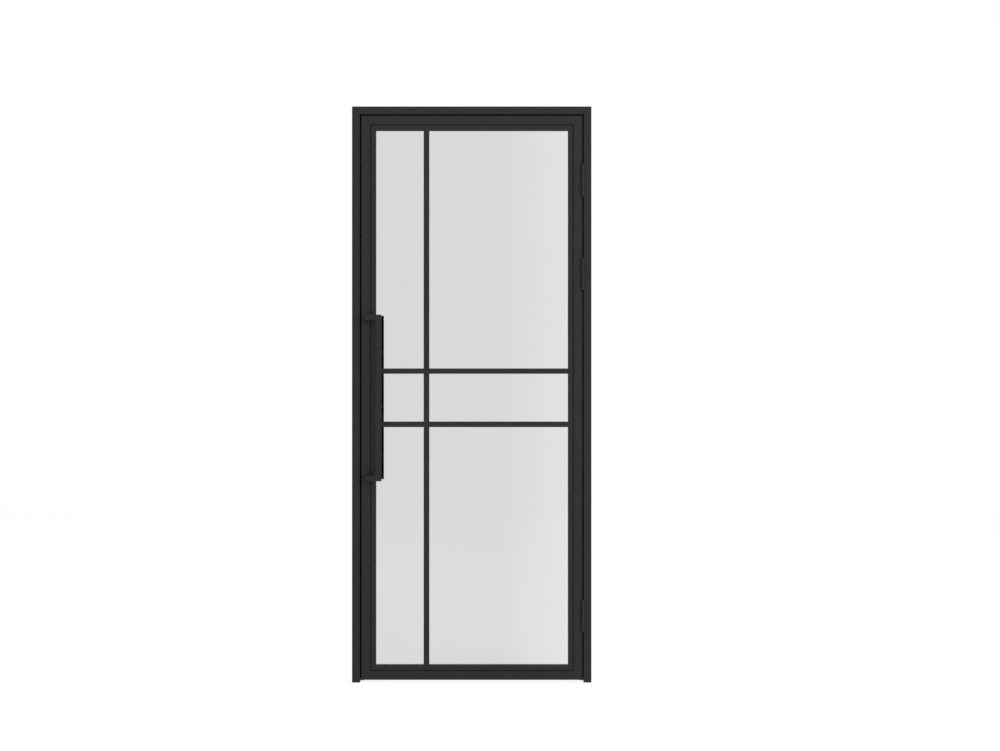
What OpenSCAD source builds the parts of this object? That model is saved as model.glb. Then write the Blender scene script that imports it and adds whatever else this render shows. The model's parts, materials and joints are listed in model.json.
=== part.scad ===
// Framed glass interior door: a slim black metal leaf with one sheet of glass and applied
// glazing bars, hung on three barrel hinges in a rebated frame.
// X runs along the wall with the hinge jamb's outer face at 0 and the leaf on its -X side,
// Y runs through the wall with the hinge side at -Y, and Z = 0 is the finished floor.

/* [Leaf] */
// Width of the leaf
leaf_w = 828; // [600:1:1100]
// Height of the leaf
leaf_h = 2115; // [1900:1:2600]
// Thickness of the leaf
leaf_t = 35; // [32:0.5:50]
// Width of the stiles and rails, seen from the front
stile_w = 33; // [30:0.5:60]
// Wall of the stile and rail profiles
stile_wall = 2; // [1.5:0.1:3]
// Wall on the outer edge of the profiles, which the hinges are let into
edge_wall = 3.5; // [3:0.1:5]
// Bevel that breaks the long edges of the profiles
edge_bevel = 0.6; // [0.3:0.1:1]

/* [Glazing] */
// Thickness of the glass
glass_t = 6; // [4:0.5:10]
// Thickness of the glazing tape on each side of the glass
tape_t = 1.5; // [1:0.1:2.5]
// Room between the edge of the glass and the stile
glass_play = 5; // [3:0.5:8]
// Width of the glazing bead, seen from the front
bead_w = 17.5; // [12:0.5:30]
// Set-back of the bead from the leaf's face
bead_set = 2; // [1:0.5:4]
// Wall of the bead profiles
bead_wall = 1.5; // [1:0.1:2]
// Width of the shadow groove between stile and bead
groove_w = 2.5; // [1.5:0.5:5]
// Depth of the shadow groove below the bead's face
groove_d = 5; // [3:0.5:6]
// Thickness of the tongue that clips the bead into the stile
tongue_t = 1.2; // [1:0.1:1.6]
// Length of the tongue
tongue_l = 1.6; // [1:0.1:2]
// Clearance around the tongue
tongue_play = 0.1; // [0.05:0.05:0.2]
// Length of each setting block under the glass
block_l = 80; // [40:5:120]
// Distance from the glass corner to the setting block
block_in = 90; // [60:5:200]

/* [Glazing bars] */
// Width of the glazing bars
bar_w = 20; // [12:0.5:30]
// Wall of the glazing bars
bar_wall = 1.5; // [1:0.1:2]
// Clear side of the square pane beside the handle
small_pane_w = 180; // [100:5:260]

/* [Frame] */
// Width of the frame's face
frame_face = 29; // [24:0.5:60]
// Depth of the frame through the wall
frame_depth = 100; // [90:1:160]
// Wall of the frame profile
frame_wall = 2; // [1.5:0.1:3]
// Wall of the frame's rebate, which the hinges are let into
rebate_wall = 3.5; // [3:0.1:5]
// Projection of the stop from the rebate
stop_w = 12; // [11:0.5:16]
// Room between the back of the leaf and the stop
stop_play = 8; // [7.5:0.5:12]
// Gap beside the hinged edge of the leaf
hinge_gap = 5; // [4:0.5:6]
// Gap beside the closing edge of the leaf
lock_gap = 6.5; // [5:0.5:8]
// Gap above the leaf
head_gap = 5.5; // [4:0.5:8]
// Gap between the leaf and the floor
floor_gap = 10; // [5:0.5:20]

/* [Stop seal] */
// Width of the seal's bulb
seal_w = 6; // [4:0.5:6]
// Distance from the inner edge of the stop to the seal
seal_in = 0.5; // [0.5:0.5:2]
// Projection of the seal from the stop
seal_out = 3; // [1.5:0.5:3]
// Width of the groove that holds the seal
seal_root_w = 3; // [2:0.5:3.5]
// Depth of the groove that holds the seal
seal_root_d = 3; // [2:0.5:4]

/* [Hinges] */
// Height of a hinge over its end caps
hinge_h = 120; // [80:1:160]
// Diameter of the barrel
barrel_d = 12; // [10:0.5:16]
// Distance from the leaf's face to the barrel
barrel_out = 1.4; // [1:0.1:3]
// Diameter of the pin
pin_d = 6; // [5:0.5:7]
// Radial clearance of the pin in the knuckles
pin_play = 0.05; // [0.02:0.01:0.1]
// Height of the pin's caps
cap_h = 2; // [1:0.5:4]
// Bevel around the outer end of the caps
cap_bevel = 0.6; // [0.2:0.1:0.8]
// Height of the leaf's knuckle
knuckle_h = 39; // [20:1:45]
// Gap between two knuckles
knuckle_gap = 0.5; // [0.3:0.1:1]
// Thickness of the hinge wings
wing_t = 2; // [1.5:0.1:2.5]
// Depth of the hinge wings along the leaf's edge
wing_d = 27; // [20:0.5:30]
// Centre of the top hinge below the top of the leaf
top_hinge_drop = 243; // [120:1:300]
// Centre of the second hinge below the top of the leaf
second_hinge_drop = 594; // [480:1:900]
// Centre of the bottom hinge above the bottom of the leaf
bottom_hinge_rise = 242; // [120:1:400]
// Diameter of the screw holes in the wings
screw_d = 5.5; // [4:0.1:6]
// Straight part of the screw holes below their countersink
screw_land = 0.3; // [0.1:0.1:0.5]
// Diameter of the tapped holes in the backing plates
tapped_d = 4.2; // [3:0.1:4.5]
// Distance from the long edges of the wing to its screws
screw_in = 8; // [7:0.5:9]
// Thickness of the backing plates inside the profiles
plate_t = 4; // [3:0.5:6]

/* [Handles] */
// Height of the handle
handle_h = 620; // [300:5:1000]
// Width of the flat bar that the handle is made of
grip_w = 20; // [15:0.5:30]
// Thickness of the flat bar
grip_t = 8; // [6:0.5:12]
// Projection of the handle from the leaf's face
handle_out = 42; // [35:1:45]
// Distance from the closing edge of the leaf to the handle's post
handle_in = 15; // [13:0.5:16]
// Distance from the closing edge of the leaf to the far edge of the grip
grip_far = 78; // [65:0.5:110]
// Width of the post that stands on the stile
post_w = 16; // [12:0.5:16]
// Bevel that breaks the edges of the flat bar
grip_bevel = 0.8; // [0.3:0.1:1.5]
// Diameter of the bolts that join the two handles through the stile
bolt_d = 8; // [6:0.5:8]
// Length of the bolt inside each post
bolt_in = 14; // [8:1:20]
// Clearance around the bolt
bolt_play = 0.15; // [0.1:0.05:0.3]

/* [Wall fixings] */
// Diameter of the fixing holes in the jambs
fixing_d = 8; // [5:0.5:10]
// Height of the lowest fixing hole above the floor
fixing_low = 180; // [100:10:300]
// Distance between the outer and the inner fixing holes
fixing_step = 600; // [300:10:600]
// Distance from the frame's back edge to the fixing holes
fixing_in = 28; // [20:1:35]

/* [Hidden] */
$fn = 48;
over = 1;
black = "#2b2c2d";
rubber = "#151515";
front = -frame_depth / 2;
stop_d = leaf_t + stop_play;
jamb_w = frame_face + stop_w;
frame_w = 2 * frame_face + hinge_gap + leaf_w + lock_gap;
frame_h = floor_gap + leaf_h + head_gap + frame_face;
leaf_right = -(frame_face + hinge_gap);
leaf_left = leaf_right - leaf_w;
leaf_top = floor_gap + leaf_h;
glass_d = (leaf_t - glass_t) / 2;
bead_back = glass_d - tape_t;
bead_x = stile_w + groove_w;
sight_w = bead_x + bead_w;
tongue_y = (bead_set + groove_d + bead_back) / 2;
glass_in = stile_w + glass_play;
tape_in = bead_x;
pin_x = -frame_face - hinge_gap / 2;
pin_y = front - barrel_out - barrel_d / 2;
hinge_z = [leaf_top - top_hinge_drop, leaf_top - second_hinge_drop, floor_gap + bottom_hinge_rise];
stack_h = hinge_h - 2 * cap_h;
end_knuckle_h = (stack_h - knuckle_h) / 2 - knuckle_gap;
screw_step = (stack_h - 4 * screw_in) / 3;
screw_head_d = screw_d + 2 * (wing_t - screw_land);
upright_x = leaf_left + sight_w + small_pane_w;
crossbar_z = [for (side = [-1, 1]) floor_gap + leaf_h / 2 + side * (small_pane_w + bar_w) / 2];
handle_z = floor_gap + leaf_h / 2 - handle_h / 2;
bolt_x = leaf_left + handle_in + post_w / 2;
bolt_z = [handle_z + grip_w / 2, handle_z + handle_h - grip_w / 2];
fixing_z = [fixing_low, fixing_low + fixing_step, frame_h - fixing_low - fixing_step, frame_h - fixing_low];

// The outline with each corner cut back by c along both of its sides
function bevelled(points, c) = [
    for (i = [0 : len(points) - 1])
        let (
            here = points[i],
            last = points[(i + len(points) - 1) % len(points)],
            next = points[(i + 1) % len(points)]
        )
        each [here + c * (last - here) / norm(last - here), here + c * (next - here) / norm(next - here)]
];

function rectangle(low, high) = [low, [high.x, low.y], high, [low.x, high.y]];

// A profile along Z whose X is the distance from the outer edge; a mitred end falls back at 45 degrees
module mitred(length, width, depth, at_start = true, at_end = true) {
    intersection() {
        linear_extrude(length) children();
        translate([0, depth + over, 0])
            rotate([90, 0, 0])
                linear_extrude(depth + 2 * over)
                    polygon([
                        [-over, -over],
                        [width + over, at_start ? width + over : -over],
                        [width + over, at_end ? length - width - over : length + over],
                        [-over, length + over]
                    ]);
    }
}

// Places a profile on one side of a rectangle in the XZ plane, its outer edge on the rectangle
module on_side(side, left, right, bottom, top) {
    if (side == "left") translate([left, front, bottom]) children();
    if (side == "right") translate([right, front, bottom]) mirror([1, 0, 0]) children();
    if (side == "top") translate([left, front, top]) rotate([0, 90, 0]) children();
    if (side == "bottom") translate([right, front, bottom]) rotate([0, -90, 0]) children();
}

module on_leaf(side) {
    on_side(side, leaf_left, leaf_right, floor_gap, leaf_top) children();
}

module on_frame(side) {
    on_side(side, -frame_w, 0, 0, frame_h) children();
}

// The same piece on the back of the leaf
module at_back() {
    translate([0, 2 * front + leaf_t, 0]) mirror([0, 1, 0]) children();
}

function leaf_side_length(side) = side == "top" || side == "bottom" ? leaf_w : leaf_h;

// Rebated hollow section of the jambs and the head, with a groove for the seal in its stop
module frame_section() {
    difference() {
        polygon(bevelled([
            [0, 0], [frame_face, 0], [frame_face, stop_d],
            [jamb_w, stop_d], [jamb_w, frame_depth], [0, frame_depth]
        ], edge_bevel));
        polygon([
            [frame_wall, frame_wall],
            [frame_face - rebate_wall, frame_wall],
            [frame_face - rebate_wall, stop_d + seal_root_d + frame_wall],
            [jamb_w - frame_wall, stop_d + seal_root_d + frame_wall],
            [jamb_w - frame_wall, frame_depth - frame_wall],
            [frame_wall, frame_depth - frame_wall]
        ]);
        translate([jamb_w - seal_in - (seal_w + seal_root_w) / 2, stop_d - over])
            square([seal_root_w, seal_root_d + over]);
    }
}

// Bulb of the stop seal on its root
module seal_section() {
    translate([jamb_w - seal_in - seal_w / 2, stop_d]) {
        translate([-seal_root_w / 2, 0]) square([seal_root_w, seal_root_d]);
        intersection() {
            circle(seal_w / 2);
            translate([-seal_w / 2, -seal_out]) square([seal_w, seal_out]);
        }
    }
}

// Slot that a bead's tongue clips into, or with a wall the metal around it
module tongue_slot(wall) {
    half = tongue_t / 2 + tongue_play + wall;
    for (y = [tongue_y, leaf_t - tongue_y])
        polygon(rectangle(
            [stile_w - tongue_l - tongue_play - wall, y - half],
            [stile_w + over, y + half]
        ));
}

// Hollow section of the stiles and rails, with a slot for a bead on either side of the glass
module stile_section() {
    difference() {
        polygon(bevelled(rectangle([0, 0], [stile_w, leaf_t]), edge_bevel));
        difference() {
            polygon(rectangle([edge_wall, stile_wall], [stile_w - stile_wall, leaf_t - stile_wall]));
            tongue_slot(stile_wall);
        }
        tongue_slot(0);
    }
}

// Hollow bead: a foot and tongue at the stile below the shadow groove, and a face towards the room
module bead_section() {
    polygon(rectangle(
        [stile_w - tongue_l, tongue_y - tongue_t / 2],
        [stile_w + bead_wall, tongue_y + tongue_t / 2]
    ));
    difference() {
        polygon([
            [stile_w, bead_set + groove_d],
            [bead_x, bead_set + groove_d],
            [bead_x, bead_set + edge_bevel],
            [bead_x + edge_bevel, bead_set],
            [sight_w - edge_bevel, bead_set],
            [sight_w, bead_set + edge_bevel],
            [sight_w, bead_back],
            [stile_w, bead_back]
        ]);
        polygon(rectangle(
            [bead_x + bead_wall, bead_set + bead_wall],
            [sight_w - bead_wall, bead_back - bead_wall]
        ));
    }
}

// Hollow glazing bar, bonded to the glass; X is centred on the bar
module bar_section() {
    difference() {
        polygon([
            [-bar_w / 2, bead_set + edge_bevel],
            [edge_bevel - bar_w / 2, bead_set],
            [bar_w / 2 - edge_bevel, bead_set],
            [bar_w / 2, bead_set + edge_bevel],
            [bar_w / 2, glass_d],
            [-bar_w / 2, glass_d]
        ]);
        polygon(rectangle(
            [bar_wall - bar_w / 2, bead_set + bar_wall],
            [bar_w / 2 - bar_wall, glass_d - bar_wall]
        ));
    }
}

module frame_side(side) {
    length = side == "top" ? frame_w : frame_h;
    color(black)
        on_frame(side)
            mitred(length, jamb_w, frame_depth, side == "top", true) frame_section();
}

// Round holes through both walls of a jamb
module fixing_holes(x) {
    for (z = fixing_z)
        translate([x - over, -front - fixing_in, z])
            rotate([0, 90, 0])
                cylinder(d = fixing_d, h = jamb_w + 2 * over);
}

// Shallow seats on both sides of the hinge gap, which the wings lie in
module wing_seat(z, x) {
    translate([x, front - over, z - stack_h / 2])
        cube([wing_t + over, wing_d + over, stack_h]);
}

// Puts its children at the four staggered screws of a wing
module at_screws(z) {
    for (i = [0 : 3])
        translate([0, front + (i % 2 == 0 ? screw_in : wing_d - screw_in), z + (i - 1.5) * screw_step])
            children();
}

// Round hole from the face x into the metal, towards +X where side is 1
module screw_hole(x, side, d, depth) {
    translate([x, 0, 0])
        rotate([0, side * 90, 0])
            translate([0, 0, -over]) cylinder(d = d, h = depth + over);
}

module hinge_jamb() {
    color(black)
        difference() {
            frame_side("right");
            fixing_holes(-jamb_w);
            for (z = hinge_z) {
                wing_seat(z, -frame_face - over);
                at_screws(z) screw_hole(-frame_face, 1, screw_d, rebate_wall + over);
            }
        }
}

module closing_jamb() {
    color(black)
        difference() {
            frame_side("left");
            fixing_holes(-frame_w);
        }
}

module head_jamb() {
    frame_side("top");
}

module stop_seal(side) {
    length = side == "top" ? frame_w : frame_h;
    color(rubber)
        on_frame(side)
            mitred(length, jamb_w, frame_depth, side == "top", true) seal_section();
}

// Knuckle around the pin, from z upward, with the strap that joins it to its wing
module knuckle(z, height, side) {
    translate([0, 0, z])
        difference() {
            union() {
                translate([pin_x, pin_y, 0]) cylinder(d = barrel_d, h = height);
                translate([pin_x + side * hinge_gap / 2 + (side < 0 ? -wing_t : 0), pin_y, 0])
                    cube([wing_t, front - pin_y + over, height]);
            }
            translate([pin_x, pin_y, -over])
                cylinder(r = pin_d / 2 + pin_play, h = height + 2 * over);
        }
}

// Wing with countersunk holes in its face x, which lies towards the gap
module wing_plate(z, x, side) {
    difference() {
        translate([side > 0 ? x : x - wing_t, front, z - stack_h / 2])
            cube([wing_t, wing_d, stack_h]);
        at_screws(z) {
            screw_hole(x, side, screw_d, wing_t + over);
            translate([x, 0, 0])
                rotate([0, side * 90, 0])
                    translate([0, 0, -over])
                        cylinder(d1 = screw_head_d + 2 * over, d2 = screw_d, h = wing_t - screw_land + over);
        }
    }
}

// Tapped plates against the inner side of the profile's outer wall, behind the wings
module backing_plates(x, side, wall, skin) {
    color("dimgray")
        for (z = hinge_z)
            difference() {
                translate([side > 0 ? x + wall : x - wall - plate_t, front + skin, z - stack_h / 2])
                    cube([plate_t, wing_d - skin, stack_h]);
                at_screws(z) screw_hole(x, side, tapped_d, wall + plate_t + over);
            }
}

module frame_wing(z) {
    color(black) {
        wing_plate(z, -frame_face, 1);
        knuckle(z - stack_h / 2, end_knuckle_h, 1);
        knuckle(z + stack_h / 2 - end_knuckle_h, end_knuckle_h, 1);
    }
}

module leaf_wing(z) {
    color(black) {
        wing_plate(z, leaf_right, -1);
        knuckle(z - knuckle_h / 2, knuckle_h, -1);
    }
}

// Cap that closes the barrel, with its bevelled end down
module pin_cap() {
    cylinder(d1 = barrel_d - 2 * cap_bevel, d2 = barrel_d, h = cap_bevel);
    translate([0, 0, cap_bevel]) cylinder(d = barrel_d, h = cap_h - cap_bevel);
}

// Pin through all three knuckles, with a cap at each end
module hinge_pin(z) {
    color(black)
        translate([pin_x, pin_y, z - hinge_h / 2]) {
            translate([0, 0, cap_h]) cylinder(d = pin_d, h = stack_h);
            pin_cap();
            translate([0, 0, hinge_h]) mirror([0, 0, 1]) pin_cap();
        }
}

module leaf_side(side) {
    color(black)
        on_leaf(side)
            mitred(leaf_side_length(side), stile_w, leaf_t) stile_section();
}

module hinge_stile() {
    color(black)
        difference() {
            leaf_side("right");
            for (z = hinge_z) {
                wing_seat(z, leaf_right - wing_t);
                at_screws(z) screw_hole(leaf_right, -1, screw_d, edge_wall + over);
            }
        }
}

// Bores along Y for the handles' bolts, from y over a length
module bolt_bores(y, length) {
    for (z = bolt_z)
        translate([bolt_x, y, z])
            rotate([-90, 0, 0]) cylinder(r = bolt_d / 2 + bolt_play, h = length);
}

module closing_stile() {
    color(black)
        difference() {
            leaf_side("left");
            bolt_bores(front - over, leaf_t + 2 * over);
        }
}

module bead(side) {
    color(black)
        on_leaf(side)
            mitred(leaf_side_length(side), sight_w, leaf_t) bead_section();
}

module glass() {
    color("lightblue", 0.3)
        translate([leaf_left + glass_in, front + glass_d, floor_gap + glass_in])
            cube([leaf_w - 2 * glass_in, glass_t, leaf_h - 2 * glass_in]);
}

// Blocks on the bottom rail that carry the glass
module setting_blocks() {
    color(rubber)
        for (x = [glass_in + block_in, leaf_w - glass_in - block_in - block_l])
            translate([leaf_left + x, front + glass_d, floor_gap + stile_w])
                cube([block_l, glass_t, glass_play]);
}

// Ring of tape between the beads and the glass
module glazing_tape() {
    color(rubber)
        translate([leaf_left, front + bead_back, floor_gap])
            difference() {
                translate([glass_in, 0, glass_in])
                    cube([leaf_w - 2 * glass_in, tape_t, leaf_h - 2 * glass_in]);
                translate([sight_w, -over, sight_w])
                    cube([leaf_w - 2 * sight_w, tape_t + 2 * over, leaf_h - 2 * sight_w]);
            }
}

module upright_bar() {
    color(black)
        translate([upright_x + bar_w / 2, front, floor_gap + sight_w])
            linear_extrude(leaf_h - 2 * sight_w) bar_section();
}

// One bar in two lengths, on either side of the upright
module crossbar(z) {
    spans = [
        [leaf_left + sight_w, small_pane_w],
        [upright_x + bar_w, leaf_w - 2 * sight_w - small_pane_w - bar_w]
    ];
    color(black)
        for (span = spans)
            translate([span[0], front, z])
                rotate([0, 90, 0])
                    linear_extrude(span[1]) bar_section();
}

// Flat bar bent to a bracket, with a post at each end that stands on the stile
module handle() {
    arm_l = grip_far - handle_in;
    grip_right = leaf_left + grip_far;
    sides = [["right", handle_h, true], ["top", arm_l, true], ["bottom", arm_l, false]];
    color(black) {
        for (s = sides)
            translate([0, -handle_out, 0])
                on_side(s[0], grip_right - arm_l, grip_right, handle_z, handle_z + handle_h)
                    mitred(s[1], grip_w, grip_t, s[0] != "top", s[2])
                        polygon(bevelled(rectangle([0, 0], [grip_w, grip_t]), grip_bevel));
        difference() {
            for (z = [handle_z, handle_z + handle_h - grip_w])
                translate([leaf_left + handle_in, front - handle_out + grip_t, z])
                    cube([post_w, handle_out - grip_t, grip_w]);
            bolt_bores(front - bolt_in - bolt_play, bolt_in + bolt_play + over);
        }
    }
}

// Threaded bolts through the stile, from post to post
module handle_bolts() {
    color("dimgray")
        for (z = bolt_z)
            translate([bolt_x, front - bolt_in, z])
                rotate([-90, 0, 0]) cylinder(d = bolt_d, h = leaf_t + 2 * bolt_in);
}

hinge_jamb();
closing_jamb();
head_jamb();
stop_seal("right");  // hinge_side_seal
stop_seal("left");  // closing_side_seal
stop_seal("top");  // head_seal
frame_wing(hinge_z[0]);  // top_hinge_frame_wing
frame_wing(hinge_z[1]);  // middle_hinge_frame_wing
frame_wing(hinge_z[2]);  // bottom_hinge_frame_wing
hinge_pin(hinge_z[0]);  // top_hinge_pin
hinge_pin(hinge_z[1]);  // middle_hinge_pin
hinge_pin(hinge_z[2]);  // bottom_hinge_pin
backing_plates(-frame_face, 1, rebate_wall, frame_wall);  // frame_backing_plates
hinge_stile();
closing_stile();
leaf_side("top");  // top_rail
leaf_side("bottom");  // bottom_rail
glass();
setting_blocks();
glazing_tape();  // front_glazing_tape
at_back() glazing_tape();  // back_glazing_tape
bead("right");  // front_hinge_side_bead
bead("left");  // front_closing_side_bead
bead("top");  // front_top_bead
bead("bottom");  // front_bottom_bead
at_back() bead("right");  // back_hinge_side_bead
at_back() bead("left");  // back_closing_side_bead
at_back() bead("top");  // back_top_bead
at_back() bead("bottom");  // back_bottom_bead
upright_bar();  // front_upright_bar
crossbar(crossbar_z[1]);  // front_upper_crossbar
crossbar(crossbar_z[0]);  // front_lower_crossbar
at_back() upright_bar();  // back_upright_bar
at_back() crossbar(crossbar_z[1]);  // back_upper_crossbar
at_back() crossbar(crossbar_z[0]);  // back_lower_crossbar
leaf_wing(hinge_z[0]);  // top_hinge_leaf_wing
leaf_wing(hinge_z[1]);  // middle_hinge_leaf_wing
leaf_wing(hinge_z[2]);  // bottom_hinge_leaf_wing
backing_plates(leaf_right, -1, edge_wall, stile_wall);  // leaf_backing_plates
handle();  // front_handle
at_back() handle();  // back_handle
handle_bolts();
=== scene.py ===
import json
import math

import bpy
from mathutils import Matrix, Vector


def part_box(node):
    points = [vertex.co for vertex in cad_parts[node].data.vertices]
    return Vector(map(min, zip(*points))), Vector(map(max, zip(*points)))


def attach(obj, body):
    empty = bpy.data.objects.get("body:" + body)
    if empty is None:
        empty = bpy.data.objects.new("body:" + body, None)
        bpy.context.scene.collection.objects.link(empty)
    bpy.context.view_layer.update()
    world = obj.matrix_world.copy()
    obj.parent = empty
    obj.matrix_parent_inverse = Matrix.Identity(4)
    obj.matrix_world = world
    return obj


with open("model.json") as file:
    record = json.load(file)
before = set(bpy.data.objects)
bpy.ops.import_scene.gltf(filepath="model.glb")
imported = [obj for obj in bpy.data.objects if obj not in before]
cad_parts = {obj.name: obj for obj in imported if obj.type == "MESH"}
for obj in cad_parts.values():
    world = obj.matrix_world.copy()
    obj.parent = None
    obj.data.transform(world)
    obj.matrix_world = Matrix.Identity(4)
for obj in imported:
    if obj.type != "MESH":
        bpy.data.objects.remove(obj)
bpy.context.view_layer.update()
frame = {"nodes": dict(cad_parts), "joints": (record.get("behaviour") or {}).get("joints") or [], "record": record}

scene = bpy.context.scene
scene.view_settings.view_transform = "Standard"
cadNodes = frame["nodes"]
millimetre = 0.001
white = (1, 1, 1, 1)
jambLow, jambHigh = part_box("hinge_jamb")
closingLow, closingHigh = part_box("closing_jamb")
faceY = jambLow.y
doorCentre = Vector(((closingLow.x + jambHigh.x) / 2, faceY, jambHigh.z / 2))


def linearColour(hexCode):  # sRGB hex to the linear values that Blender's sockets hold
    parts = [int(hexCode[i:i + 2], 16) / 255 for i in (1, 3, 5)]
    return [c / 12.92 if c <= 0.04045 else ((c + 0.055) / 1.055) ** 2.4 for c in parts] + [1]


def addNode(tree, kind, inputs=None, **settings):
    node = tree.nodes.new(kind)
    for name, value in settings.items():
        setattr(node, name, value)
    for key, value in (inputs or {}).items():
        if isinstance(value, bpy.types.NodeSocket):
            tree.links.new(value, node.inputs[key])
        else:
            node.inputs[key].default_value = value
    return node


def newMaterial(name):
    material = bpy.data.materials.new(name)
    material.use_nodes = True
    material.node_tree.nodes.clear()
    return material, material.node_tree


# The door is looked at straight on, as a catalogue picture is taken
cameraSettings = {
    "lens": 50,
    "sensor": 36,
    "distance": 5.206,  # metres from the face of the frame
    "height": 1.151,  # metres from the floor
    "besideHingeJamb": 0.3427,  # from the frame's outer edge there, towards the handle
}


def makeCamera(s):
    data = bpy.data.cameras.new("photoCamera")
    data.lens = s["lens"]
    data.sensor_width = s["sensor"]
    camera = bpy.data.objects.new("photoCamera", data)
    camera.location = (jambHigh.x - s["besideHingeJamb"], faceY - s["distance"], s["height"])
    camera.rotation_euler = (math.radians(90), 0, 0)  # level, looking along +Y
    scene.collection.objects.link(camera)
    scene.camera = camera


makeCamera(cameraSettings)
print("camera set")

studioSettings = {
    "ambient": 0.62,  # what the world gives to every surface
    "keyPower": 160,
    "keySize": 3.0,
    "keyPlace": (3.2, -4.4, 1.2),  # metres from the middle of the door
    "fillPower": 14,
    "fillSize": 1.6,
    "fillPlace": (-2.0, -2.4, 2.0),
    "backPower": 80,
    "backSize": 2.0,
    "backPlace": (-4.4, 3.0, 1.6),  # out of the camera's view
    "softboxGlow": 1.8,
    "softboxSize": (3.6, 16.0),
    "softboxPlace": (1.909, -7.2),  # its middle, beside the camera and behind it
    "softboxFadeIn": 0.178,  # share of its width over which the light grows, from the left
    "softboxFadeOut": 0.6,  # share of its width over which it dies away, to the right
    "floorGlow": 0.868,  # with the lit shade below, this makes the floor white to the camera
    "floorShade": "#7c7c7c",
    "floorBounce": 0.8,  # how pale the floor is for the light that falls on it
    "floorSize": 14,
}


def seenDirectly(tree):  # 1 for what the camera sees, in or through glass too, and 0 for light
    path = addNode(tree, "ShaderNodeLightPath")
    straight = addNode(tree, "ShaderNodeMath", {
        0: path.outputs["Is Camera Ray"], 1: path.outputs["Is Glossy Ray"]}, operation="MAXIMUM")
    either = addNode(tree, "ShaderNodeMath", {
        0: straight.outputs[0], 1: path.outputs["Is Transmission Ray"]}, operation="MAXIMUM")
    return either.outputs[0]


def makeWorld(s):
    world = bpy.data.worlds.new("whiteStudio")
    world.use_nodes = True
    tree = world.node_tree
    tree.nodes.clear()
    ambient = addNode(tree, "ShaderNodeBackground", {"Color": white, "Strength": s["ambient"]})
    backdrop = addNode(tree, "ShaderNodeBackground", {"Color": white, "Strength": 1.0})
    mix = addNode(tree, "ShaderNodeMixShader", {
        0: seenDirectly(tree), 1: ambient.outputs[0], 2: backdrop.outputs[0]})
    addNode(tree, "ShaderNodeOutputWorld", {"Surface": mix.outputs[0]})
    scene.world = world


def makeLamp(name, power, size, place):
    data = bpy.data.lights.new(name, "AREA")
    data.energy = power
    data.size = size
    lamp = bpy.data.objects.new(name, data)
    lamp.location = doorCentre + Vector(place)
    lamp.rotation_euler = (doorCentre - lamp.location).to_track_quat("-Z", "Y").to_euler()
    lamp.visible_camera = False
    lamp.visible_glossy = False  # it lights the coat, and isn't mirrored in the glass
    lamp.visible_transmission = False
    scene.collection.objects.link(lamp)


def makePlane(name, corners, material):
    mesh = bpy.data.meshes.new(name)
    mesh.from_pydata(corners, [], [(0, 1, 2, 3)])
    mesh.materials.append(material)
    plane = bpy.data.objects.new(name, mesh)
    scene.collection.objects.link(plane)
    return plane


def studioPaper(s):  # pale paper: a soft shadow stays on it, and the rest is white to the camera
    material, tree = newMaterial("studioPaper")
    shade = addNode(tree, "ShaderNodeBsdfDiffuse", {"Color": linearColour(s["floorShade"])})
    glow = addNode(tree, "ShaderNodeEmission", {"Color": white, "Strength": s["floorGlow"]})
    seen = addNode(tree, "ShaderNodeAddShader", {0: shade.outputs[0], 1: glow.outputs[0]})
    plain = addNode(tree, "ShaderNodeBsdfDiffuse", {"Color": (s["floorBounce"],) * 3 + (1,)})
    mix = addNode(tree, "ShaderNodeMixShader", {
        0: seenDirectly(tree), 1: plain.outputs[0], 2: seen.outputs[0]})
    addNode(tree, "ShaderNodeOutputMaterial", {"Surface": mix.outputs[0]})
    return material


def softboxCloth(s, leftX, width):  # a lamp's diffuser with soft edges, over the white room
    material, tree = newMaterial("softboxCloth")
    place = addNode(tree, "ShaderNodeTexCoord")
    split = addNode(tree, "ShaderNodeSeparateXYZ", {0: place.outputs["Object"]})
    grows = addNode(tree, "ShaderNodeMapRange", {
        "Value": split.outputs["X"],
        "From Min": leftX, "From Max": leftX + width * s["softboxFadeIn"],
        "To Min": 0.0, "To Max": s["softboxGlow"]})
    fades = addNode(tree, "ShaderNodeMapRange", {
        "Value": split.outputs["X"],
        "From Min": leftX + width * (1 - s["softboxFadeOut"]), "From Max": leftX + width,
        "To Min": s["softboxGlow"], "To Max": 0.0})
    level = addNode(tree, "ShaderNodeMath", {
        0: grows.outputs[0], 1: fades.outputs[0]}, operation="MINIMUM")
    glow = addNode(tree, "ShaderNodeEmission", {"Color": white, "Strength": level.outputs[0]})
    clear = addNode(tree, "ShaderNodeBsdfTransparent")
    both = addNode(tree, "ShaderNodeAddShader", {0: clear.outputs[0], 1: glow.outputs[0]})
    addNode(tree, "ShaderNodeOutputMaterial", {"Surface": both.outputs[0]})
    return material


def makeStudio(s):
    makeWorld(s)
    makeLamp("keyLamp", s["keyPower"], s["keySize"], s["keyPlace"])
    makeLamp("fillLamp", s["fillPower"], s["fillSize"], s["fillPlace"])
    makeLamp("backLamp", s["backPower"], s["backSize"], s["backPlace"])
    half = s["floorSize"] / 2
    floorCorners = [(-half, -half, 0), (half, -half, 0), (half, half, 0), (-half, half, 0)]
    floor = makePlane("studioFloor", floorCorners, studioPaper(s))
    floor.visible_glossy = False
    width, height = s["softboxSize"]
    middleX, y = s["softboxPlace"]
    left, right = doorCentre.x + middleX - width / 2, doorCentre.x + middleX + width / 2
    bottom, top = doorCentre.z - height / 2, doorCentre.z + height / 2
    clothCorners = [(left, y, bottom), (left, y, top), (right, y, top), (right, y, bottom)]
    softbox = makePlane("softbox", clothCorners, softboxCloth(s, left, width))
    softbox.visible_camera = False
    softbox.visible_diffuse = False  # it is mirrored in the glass and adds no light
    softbox.visible_transmission = False


makeStudio(studioSettings)
print("studio set")

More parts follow.
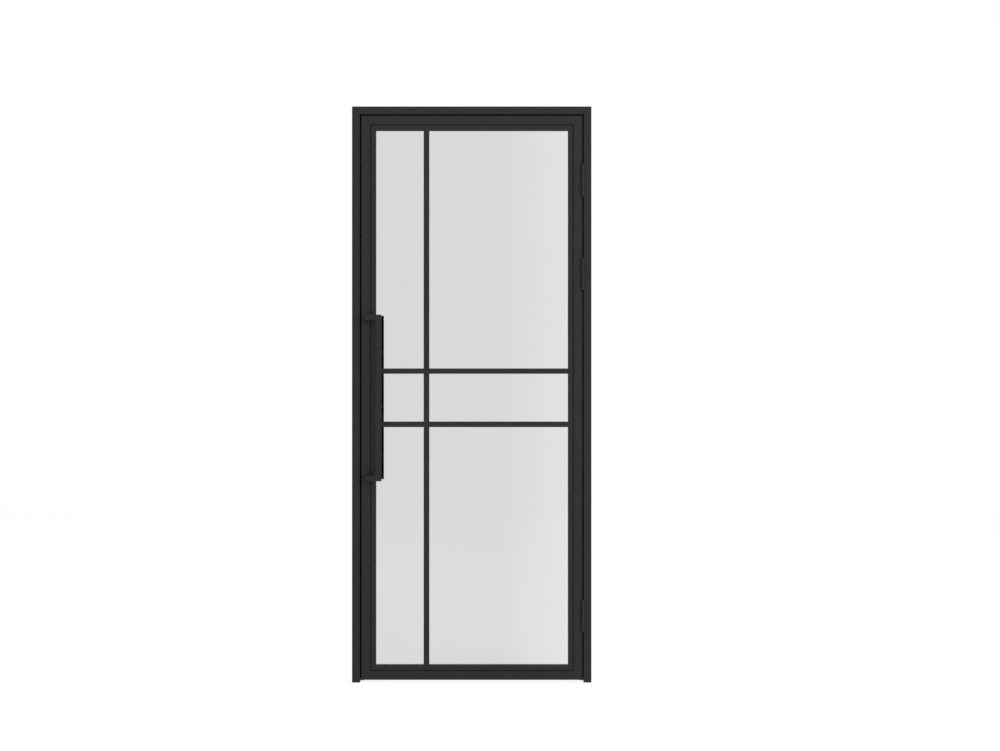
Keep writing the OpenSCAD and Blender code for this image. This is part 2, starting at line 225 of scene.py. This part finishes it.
# Powder coat: resin powder sprayed on metal and baked, so it is matt, evenly black and
# finely pebbled, with a dull highlight and no metallic glint. Its real pebbling is about
# 0.4 mm wide, which no picture of a whole door shows, so a mottle some pixels wide stands
# for it. Sizes and depths are in millimetres here and in the looks below.
coatLooks = {
    "black_profile": {
        "name": "powderCoatedAluminium",
        "colour": "#212122", "paleColour": "#252526",
        "roughness": (0.50, 0.60), "specular": 0.17,
        "patchSize": 260, "mottleSize": 11, "mottleShare": 0.35,
        "peelSize": 3.2, "peelDepth": 0.4,
        "grainSize": 0.9, "grainDepth": 0.3,
    },
    # Its own black coat, made paler than the profile coat as a painted highlight on the hinge barrels, since the
    # lamps aren't mirrored in it
    "hinge_steel": {
        "name": "hingeCoatWithPaintedHighlight",
        "colour": "#242425", "paleColour": "#282829",
        "roughness": (0.40, 0.48), "specular": 0.17,
        "patchSize": 60, "mottleSize": 9, "mottleShare": 0.3,
        "peelSize": 2.4, "peelDepth": 0.12,
        "grainSize": 0.8, "grainDepth": 0.08,
    },
    "handle_steel": {
        "name": "texturedPowderCoatedSteel",
        "colour": "#212122", "paleColour": "#262626",
        "roughness": (0.54, 0.64), "specular": 0.17,
        "patchSize": 120, "mottleSize": 9, "mottleShare": 0.4,
        "peelSize": 2.2, "peelDepth": 0.25,
        "grainSize": 0.8, "grainDepth": 0.35,
    },
}
coatNoise = {  # what all three coats share
    "details": {"patchSize": 3, "mottleSize": 2, "peelSize": 1, "grainSize": 2},
    "shadeSpan": (0.35, 0.65),  # levels of the noise that give the dark and the pale colour
    "roughnessSpan": (0.3, 0.7),
    "ior": 1.5,
}


def powderCoat(look, noise):
    material, tree = newMaterial(look["name"])
    place = addNode(tree, "ShaderNodeTexCoord").outputs["Object"]
    patches, mottle, peel, grain = [
        addNode(tree, "ShaderNodeTexNoise", {
            "Vector": place, "Scale": 1 / (look[size] * millimetre),
            "Detail": detail}).outputs["Fac"]
        for size, detail in noise["details"].items()]
    shade = addNode(tree, "ShaderNodeMix", {  # sockets 2 and 3 mix numbers, 6 and 7 colours
        0: look["mottleShare"], 2: patches, 3: mottle}, data_type="FLOAT")
    darkLevel, paleLevel = noise["shadeSpan"]
    spread = addNode(tree, "ShaderNodeMapRange", {
        "Value": shade.outputs[0], "From Min": darkLevel, "From Max": paleLevel})
    colour = addNode(tree, "ShaderNodeMix", {
        0: spread.outputs[0],
        6: linearColour(look["colour"]), 7: linearColour(look["paleColour"])}, data_type="RGBA")
    smoothLevel, roughLevel = noise["roughnessSpan"]
    low, high = look["roughness"]
    roughness = addNode(tree, "ShaderNodeMapRange", {
        "Value": patches, "From Min": smoothLevel, "From Max": roughLevel,
        "To Min": low, "To Max": high})
    peelBump = addNode(tree, "ShaderNodeBump", {
        "Height": peel, "Strength": 1.0, "Distance": look["peelDepth"] * millimetre})
    grainBump = addNode(tree, "ShaderNodeBump", {
        "Height": grain, "Strength": 1.0, "Distance": look["grainDepth"] * millimetre,
        "Normal": peelBump.outputs[0]})
    shader = addNode(tree, "ShaderNodeBsdfPrincipled", {
        "Base Color": colour.outputs[2], "Roughness": roughness.outputs[0],
        "IOR": noise["ior"], "Specular IOR Level": look["specular"],
        "Normal": grainBump.outputs[0]})
    addNode(tree, "ShaderNodeOutputMaterial", {"Surface": shader.outputs[0]})
    return material


# Laminated float glass: two flat sheets with a clear interlayer, which takes a little of the
# light, and leaves the faintest long waves of the rollers that pressed it
glassLook = {
    "tint": "#d9d8d6", "deepTint": "#d6d7d5", "tintSize": 420,
    "ior": 1.52, "roughness": 0.0,
    "waveSize": 180, "waveDepth": 0.012, "detail": 1.0,
}


def laminatedGlass(look):
    material, tree = newMaterial("laminatedFloatGlass")
    place = addNode(tree, "ShaderNodeTexCoord").outputs["Object"]
    clouds, waves = [
        addNode(tree, "ShaderNodeTexNoise", {
            "Vector": place, "Scale": 1 / (look[size] * millimetre),
            "Detail": look["detail"]}).outputs["Fac"]
        for size in ("tintSize", "waveSize")]
    tint = addNode(tree, "ShaderNodeMix", {
        0: clouds,
        6: linearColour(look["tint"]), 7: linearColour(look["deepTint"])}, data_type="RGBA")
    bump = addNode(tree, "ShaderNodeBump", {
        "Height": waves, "Strength": 1.0, "Distance": look["waveDepth"] * millimetre})
    shader = addNode(tree, "ShaderNodeBsdfPrincipled", {
        "Base Color": tint.outputs[2], "Roughness": look["roughness"],
        "IOR": look["ior"], "Transmission Weight": 1.0, "Normal": bump.outputs[0]})
    addNode(tree, "ShaderNodeOutputMaterial", {"Surface": shader.outputs[0]})
    return material


# EPDM: extruded black rubber, dull with a faint sheen and the fine grain that the die leaves
rubberLook = {
    "name": "extrudedRubber",
    "colour": "#101010", "paleColour": "#161616",
    "grainSize": 0.8, "grainDetail": 2.0, "grainDepth": 0.02,
    "shader": {"Roughness": 0.72, "IOR": 1.5, "Specular IOR Level": 0.3},
}

# Zinc plated steel: bright and faintly cloudy, on the plates and bolts inside the profiles
zincLook = {
    "name": "zincPlatedSteel",
    "colour": "#a9aaa4", "paleColour": "#bcbdb6",
    "grainSize": 9, "grainDetail": 4.0, "grainDepth": 0,
    "shader": {"Roughness": 0.34, "Metallic": 1.0},
}

# Black oxide on turned screw steel: a thin blue-black skin with an oily gloss
screwLook = {
    "name": "blackOxideSteel",
    "colour": "#1c1c1e", "paleColour": "#2b2a2a",
    "grainSize": 0.35, "grainDetail": 2.0, "grainDepth": 0.01,
    "shader": {"Roughness": 0.36, "Metallic": 0.6},
}

# Polyamide, injection moulded in a spark-eroded tool: matt black with a fine even grain
capLook = {
    "name": "mouldedPolyamide",
    "colour": "#202021", "paleColour": "#262627",
    "grainSize": 0.3, "grainDetail": 1.0, "grainDepth": 0.02,
    "shader": {"Roughness": 0.55, "IOR": 1.53, "Specular IOR Level": 0.3},
}


def grainedFinish(look):  # one pattern gives both the two shades and the relief
    material, tree = newMaterial(look["name"])
    place = addNode(tree, "ShaderNodeTexCoord").outputs["Object"]
    grain = addNode(tree, "ShaderNodeTexNoise", {
        "Vector": place, "Scale": 1 / (look["grainSize"] * millimetre),
        "Detail": look["grainDetail"]}).outputs["Fac"]
    colour = addNode(tree, "ShaderNodeMix", {
        0: grain,
        6: linearColour(look["colour"]), 7: linearColour(look["paleColour"])}, data_type="RGBA")
    shader = addNode(tree, "ShaderNodeBsdfPrincipled", look["shader"])
    tree.links.new(colour.outputs[2], shader.inputs["Base Color"])
    if look["grainDepth"]:  # zinc plate is smooth
        bump = addNode(tree, "ShaderNodeBump", {
            "Height": grain, "Distance": look["grainDepth"] * millimetre})
        tree.links.new(bump.outputs[0], shader.inputs["Normal"])
    addNode(tree, "ShaderNodeOutputMaterial", {"Surface": shader.outputs[0]})
    return material


finishes = {slot: powderCoat(look, coatNoise) for slot, look in coatLooks.items()}
finishes["clear_glass"] = laminatedGlass(glassLook)
finishes["seal_rubber"] = grainedFinish(rubberLook)
finishes["glazing_rubber"] = finishes["seal_rubber"]
finishes["plated_steel"] = grainedFinish(zincLook)
for part in frame["record"]["subparts"]:
    cadNode = cadNodes[part["node"]]
    cadNode.data.materials.clear()
    cadNode.data.materials.append(finishes[part["material_slot"]])
print("finishes made:", len(finishes))

socketKinds = {
    "Count": "NodeSocketInt", "Seed": "NodeSocketInt", "Turn": "NodeSocketVector",
    "Finish": "NodeSocketMaterial"}


def startTree(name, labels):  # a tree with a named input for each size, the seed and the finish
    tree = bpy.data.node_groups.new(name, "GeometryNodeTree")
    tree.interface.new_socket("Geometry", in_out="INPUT", socket_type="NodeSocketGeometry")
    for label in labels:
        tree.interface.new_socket(
            label, in_out="INPUT", socket_type=socketKinds.get(label, "NodeSocketFloat"))
    tree.interface.new_socket("Geometry", in_out="OUTPUT", socket_type="NodeSocketGeometry")
    return tree, addNode(tree, "NodeGroupInput").outputs


def endTree(tree, instances, finish):
    real = addNode(tree, "GeometryNodeRealizeInstances", {"Geometry": instances})
    painted = addNode(tree, "GeometryNodeSetMaterial", {
        "Geometry": real.outputs[0], "Material": finish})
    addNode(tree, "NodeGroupOutput", {"Geometry": painted.outputs[0]})


# Runs the tree on the places and keeps a plain mesh. Values that aren't inputs of the tree
# are left alone.
def makePiece(name, tree, places, values, body):
    points = bpy.data.meshes.new(name + "Places")
    points.from_pydata(places, [], [])
    carrier = bpy.data.objects.new(name + "Places", points)
    scene.collection.objects.link(carrier)
    modifier = carrier.modifiers.new(name, "NODES")
    modifier.node_group = tree
    for item in tree.interface.items_tree:
        if item.in_out == "INPUT" and item.name in values:
            modifier[item.identifier] = values[item.name]
    bpy.context.view_layer.update()
    graph = bpy.context.evaluated_depsgraph_get()
    mesh = bpy.data.meshes.new_from_object(carrier.evaluated_get(graph))
    mesh.name = name
    carrier.modifiers.remove(modifier)
    bpy.data.objects.remove(carrier)
    piece = bpy.data.objects.new(name, mesh)
    scene.collection.objects.link(piece)
    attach(piece, body)
    print(name, "made,", len(mesh.polygons), "faces")


# Countersunk socket screws, four staggered in each hinge wing, their heads just under its face
hingeScrews = {
    "Count": 4,
    "Edge": 8 * millimetre,  # from the wing's long edges to the two rows
    "End": 16 * millimetre,  # from its ends to the first and last screw
    "Sunk": 0.1 * millimetre,
    "Head Radius": 4.35 * millimetre,
    "Head Depth": 2.2 * millimetre,
    "Thread Radius": 2.05 * millimetre,
    "Thread Length": 7.5 * millimetre,
    "Socket Radius": 1.75 * millimetre,
    "Socket Depth": 1.4 * millimetre,
    "Seed": 4,
    "Finish": grainedFinish(screwLook),
    "headSides": 32,
    "threadSides": 16,
    "socketSides": 6,
}


def screwTree(s):  # each place is the first screw of a wing, and a screw points along its own Z
    tree, size = startTree("wingScrews", [
        "Count", "Step", "Stagger", "Head Radius", "Head Depth", "Thread Radius",
        "Thread Length", "Socket Radius", "Socket Depth", "Turn", "Seed", "Finish"])
    step = addNode(tree, "ShaderNodeCombineXYZ", {"Z": size["Step"]})
    row = addNode(tree, "GeometryNodeMeshLine", {
        "Count": size["Count"], "Offset": step.outputs[0]}, mode="OFFSET")
    index = addNode(tree, "GeometryNodeInputIndex")
    odd = addNode(tree, "ShaderNodeMath", {0: index.outputs[0], 1: 2.0}, operation="MODULO")
    aside = addNode(tree, "ShaderNodeMath", {
        0: odd.outputs[0], 1: size["Stagger"]}, operation="MULTIPLY")
    shift = addNode(tree, "ShaderNodeCombineXYZ", {"Y": aside.outputs[0]})
    staggered = addNode(tree, "GeometryNodeSetPosition", {
        "Geometry": row.outputs[0], "Offset": shift.outputs[0]})
    rows = addNode(tree, "GeometryNodeInstanceOnPoints", {
        "Points": size["Geometry"], "Instance": staggered.outputs[0]})
    seats = addNode(tree, "GeometryNodeRealizeInstances", {"Geometry": rows.outputs[0]})

    head = addNode(tree, "GeometryNodeMeshCone", {
        "Vertices": s["headSides"], "Radius Bottom": size["Head Radius"],
        "Radius Top": size["Thread Radius"], "Depth": size["Head Depth"]})
    across = addNode(tree, "ShaderNodeMath", {
        0: size["Socket Depth"], 1: 2.0}, operation="MULTIPLY")  # half of it stands out
    socket = addNode(tree, "GeometryNodeMeshCylinder", {
        "Vertices": s["socketSides"], "Radius": size["Socket Radius"],
        "Depth": across.outputs[0]})
    cutHead = addNode(tree, "GeometryNodeMeshBoolean", {
        "Mesh 1": head.outputs[0], "Mesh 2": socket.outputs[0]},
        operation="DIFFERENCE", solver="EXACT")
    thread = addNode(tree, "GeometryNodeMeshCone", {
        "Vertices": s["threadSides"], "Radius Bottom": size["Thread Radius"],
        "Radius Top": size["Thread Radius"], "Depth": size["Thread Length"]})
    below = addNode(tree, "ShaderNodeCombineXYZ", {"Z": size["Head Depth"]})
    shank = addNode(tree, "GeometryNodeTransform", {
        "Geometry": thread.outputs[0], "Translation": below.outputs[0]})
    screw = addNode(tree, "GeometryNodeJoinGeometry", {0: cutHead.outputs[0]})
    tree.links.new(shank.outputs[0], screw.inputs[0])

    screws = addNode(tree, "GeometryNodeInstanceOnPoints", {
        "Points": seats.outputs[0], "Instance": screw.outputs[0], "Rotation": size["Turn"]})
    spin = addNode(tree, "FunctionNodeRandomValue", {  # 2 and 3 are the least and the most
        2: 0.0, 3: 2 * math.pi / s["socketSides"], "Seed": size["Seed"]}, data_type="FLOAT")
    twist = addNode(tree, "ShaderNodeCombineXYZ", {"Z": spin.outputs[1]})
    turned = addNode(tree, "GeometryNodeRotateInstances", {
        "Instances": screws.outputs[0], "Rotation": twist.outputs[0], "Local Space": True})
    endTree(tree, turned.outputs[0], size["Finish"])
    return tree


def makeHingeScrews(s):
    pinX = frame["joints"][0]["pos_m"][0]
    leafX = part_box("hinge_stile")[1].x
    tree = screwTree(s)
    for name, body, wing, side in (
            ("frameHingeScrews", "frame", "frame_wing", 1),
            ("leafHingeScrews", "leaf", "leaf_wing", -1)):
        x = leafX - s["Sunk"] if side < 0 else 2 * pinX - leafX + s["Sunk"]
        places = []
        for hinge in ("top", "middle", "bottom"):
            low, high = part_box(hinge + "_hinge_" + wing)
            places.append((x, faceY + s["Edge"], low.z + s["End"]))
        values = dict(
            s, Step=(high.z - low.z - 2 * s["End"]) / (s["Count"] - 1),
            Stagger=high.y - faceY - 2 * s["Edge"],
            Turn=(0.0, side * math.pi / 2, 0.0))
        makePiece(name, tree, places, values, body)


makeHingeScrews(hingeScrews)

# Push-in cover caps, low domes over the wall fixings behind the stops
coverCaps = {
    "Radius": 6.5 * millimetre,
    "Height": 1.1 * millimetre,
    "Lip": 0.35 * millimetre,  # the straight edge that stands on the jamb
    "Finish": grainedFinish(capLook),
    "fixingHeights": (0.18, 0.78, 1.3795, 1.9795),  # metres from the floor
    "fixingDepth": 0.072,  # metres from the face of the frame
    "sides": 40,
    "rings": 24,
    "cutLevel": -0.01,  # what lies lower in a ball of radius 1 is taken off, for the dome
    "weldDistance": 0.01 * millimetre,
}


def capTree(s):  # each place is the middle of a cap, and a cap stands along its own Z
    tree, size = startTree("coverCaps", ["Radius", "Height", "Lip", "Turn", "Finish"])
    lipTop = addNode(tree, "ShaderNodeCombineXYZ", {"Z": size["Lip"]})
    lip = addNode(tree, "GeometryNodeMeshCone", {
        "Vertices": s["sides"], "Radius Bottom": size["Radius"], "Radius Top": size["Radius"],
        "Depth": size["Lip"]}, fill_type="NONE")
    base = addNode(tree, "GeometryNodeMeshCircle", {
        "Vertices": s["sides"], "Radius": size["Radius"]}, fill_type="NGON")
    flipped = addNode(tree, "GeometryNodeFlipFaces", {0: base.outputs[0]})
    ball = addNode(tree, "GeometryNodeMeshUVSphere", {
        "Segments": s["sides"], "Rings": s["rings"], "Radius": 1.0})
    position = addNode(tree, "GeometryNodeInputPosition")
    parts = addNode(tree, "ShaderNodeSeparateXYZ", {0: position.outputs[0]})
    lower = addNode(tree, "FunctionNodeCompare", {
        0: parts.outputs["Z"], 1: s["cutLevel"]}, operation="LESS_THAN")
    half = addNode(tree, "GeometryNodeDeleteGeometry", {
        "Geometry": ball.outputs[0], "Selection": lower.outputs[0]})
    rise = addNode(tree, "ShaderNodeMath", {
        0: size["Height"], 1: size["Lip"]}, operation="SUBTRACT")
    flat = addNode(tree, "ShaderNodeCombineXYZ", {
        "X": size["Radius"], "Y": size["Radius"], "Z": rise.outputs[0]})
    dome = addNode(tree, "GeometryNodeTransform", {
        "Geometry": half.outputs[0], "Translation": lipTop.outputs[0],
        "Scale": flat.outputs[0]})
    smooth = addNode(tree, "GeometryNodeSetShadeSmooth", {"Geometry": dome.outputs[0]})
    cap = addNode(tree, "GeometryNodeJoinGeometry", {0: flipped.outputs[0]})
    tree.links.new(lip.outputs[0], cap.inputs[0])
    tree.links.new(smooth.outputs[0], cap.inputs[0])
    closed = addNode(tree, "GeometryNodeMergeByDistance", {
        "Geometry": cap.outputs[0], "Distance": s["weldDistance"]})
    caps = addNode(tree, "GeometryNodeInstanceOnPoints", {
        "Points": size["Geometry"], "Instance": closed.outputs[0], "Rotation": size["Turn"]})
    endTree(tree, caps.outputs[0], size["Finish"])
    return tree


def makeCoverCaps(s):
    tree = capTree(s)
    for name, x, side in (
            ("hingeJambCaps", jambLow.x, -1), ("closingJambCaps", closingHigh.x, 1)):
        places = [(x, faceY + s["fixingDepth"], z) for z in s["fixingHeights"]]
        values = dict(s, Turn=(0.0, side * math.pi / 2, 0.0))
        makePiece(name, tree, places, values, "frame")


makeCoverCaps(coverCaps)
